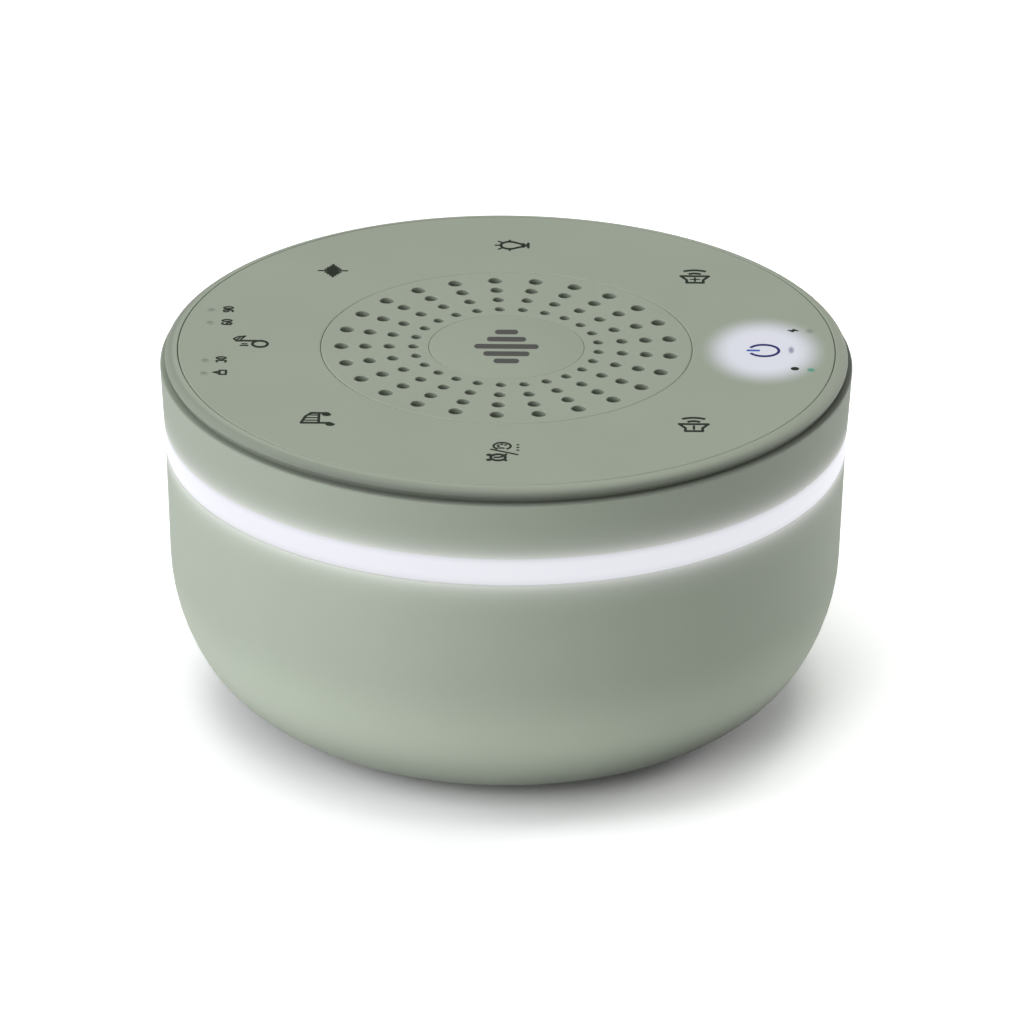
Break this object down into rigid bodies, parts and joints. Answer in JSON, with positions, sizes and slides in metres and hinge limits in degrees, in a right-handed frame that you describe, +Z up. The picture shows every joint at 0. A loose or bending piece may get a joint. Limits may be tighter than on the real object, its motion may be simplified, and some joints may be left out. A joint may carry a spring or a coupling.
{
  "type": "white noise sound machine",
  "caption": "Round table-top sound machine: touch panel and perforated speaker grille on top, light band round the wall, bowl-shaped base, rechargeable cell inside.",
  "frame": {"origin": "centre of the rubber ring it stands on, at the height of the surface under it", "axes": "+Z up through the speaker, +X towards the power key, +Y towards the charging socket"},
  "size_m": [0.1208, 0.1208, 0.0663],
  "materials": {
    "sage_shell": "soft-touch matt moulding, sage green",
    "sage_panel": "soft-touch matt moulding, sage green, printed marks",
    "base_plastic": "finely textured moulding",
    "diffuser": "satin milky light diffuser",
    "light_pipe": "tinted satin light pipe",
    "eye_lens": "smoked satin lens",
    "acoustic_cloth": "fine black mesh",
    "foot_rubber": "matt rubber",
    "surround_rubber": "satin rubber",
    "cone_paper": "pressed fibre pulp",
    "spider_cloth": "resin-treated weave",
    "former_film": "amber film",
    "copper": "bare copper",
    "plated_steel": "bright plating",
    "ferrite": "ground ferrite",
    "circuit_board": "green solder mask",
    "black_plastic": "fine matt moulding",
    "chip_plastic": "moulded epoxy",
    "capacitor_can": "drawn can",
    "white_plastic": "white moulding",
    "lamp_resin": "cast resin over a phosphor",
    "terminal_board": "laminate",
    "cell_sleeve": "shrink sleeve over a metal can",
    "red_wire": "smooth insulation",
    "white_wire": "smooth insulation",
    "ribbon_film": "flexible film"
  },
  "bodies": {
    "housing": {"top_bezel": "sage_shell", "touch_panel": "sage_panel", "speaker_grille": "sage_panel", "centre_disc": "sage_panel", "grille_cloth": "acoustic_cloth", "light_pipes": "light_pipe", "remote_eye": "eye_lens", "touch_board": "circuit_board", "touch_pads": "copper", "indicator_lamps": "lamp_resin", "upper_housing": "sage_shell", "lid_screws": "plated_steel", "light_band": "diffuser", "light_frame": "white_plastic", "lamp_strip": "white_plastic", "ring_lamps": "lamp_resin", "speaker_gasket": "foot_rubber", "speaker_basket": "black_plastic", "speaker_screws": "plated_steel", "magnet_top_plate": "plated_steel", "ring_magnet": "ferrite", "magnet_yoke": "plated_steel", "speaker_terminals": "terminal_board", "speaker_chamber": "black_plastic", "chamber_screws": "plated_steel", "main_board": "circuit_board", "board_screws": "plated_steel", "board_chips": "chip_plastic", "board_capacitors": "capacitor_can", "board_connectors": "white_plastic", "battery_tray": "black_plastic", "battery_cell": "cell_sleeve", "battery_contacts": "plated_steel", "tray_screws": "plated_steel", "lower_housing": "sage_shell", "charge_board": "circuit_board", "charge_socket": "plated_steel", "charge_screws": "plated_steel", "base_cover": "base_plastic", "base_screws": "plated_steel", "foot_ring": "foot_rubber", "speaker_wires": "red_wire", "battery_wires": "red_wire", "lamp_wires": "white_wire", "charge_wires": "red_wire", "touch_ribbon": "ribbon_film"},
    "cone_assembly": {"speaker_cone": "cone_paper", "dust_cap": "cone_paper", "coil_former": "former_film", "coil_winding": "copper", "cone_surround": "surround_rubber", "speaker_spider": "spider_cloth"}
  },
  "joints": [
    {"name": "cone_travel", "type": "slide", "parent": "housing", "child": "cone_assembly", "axis": [0, 0, 1], "range_m": [-0.0015, 0.0015], "stiffness_N_per_m": 1200, "deforming": ["cone_surround", "speaker_spider"]}
  ]
}
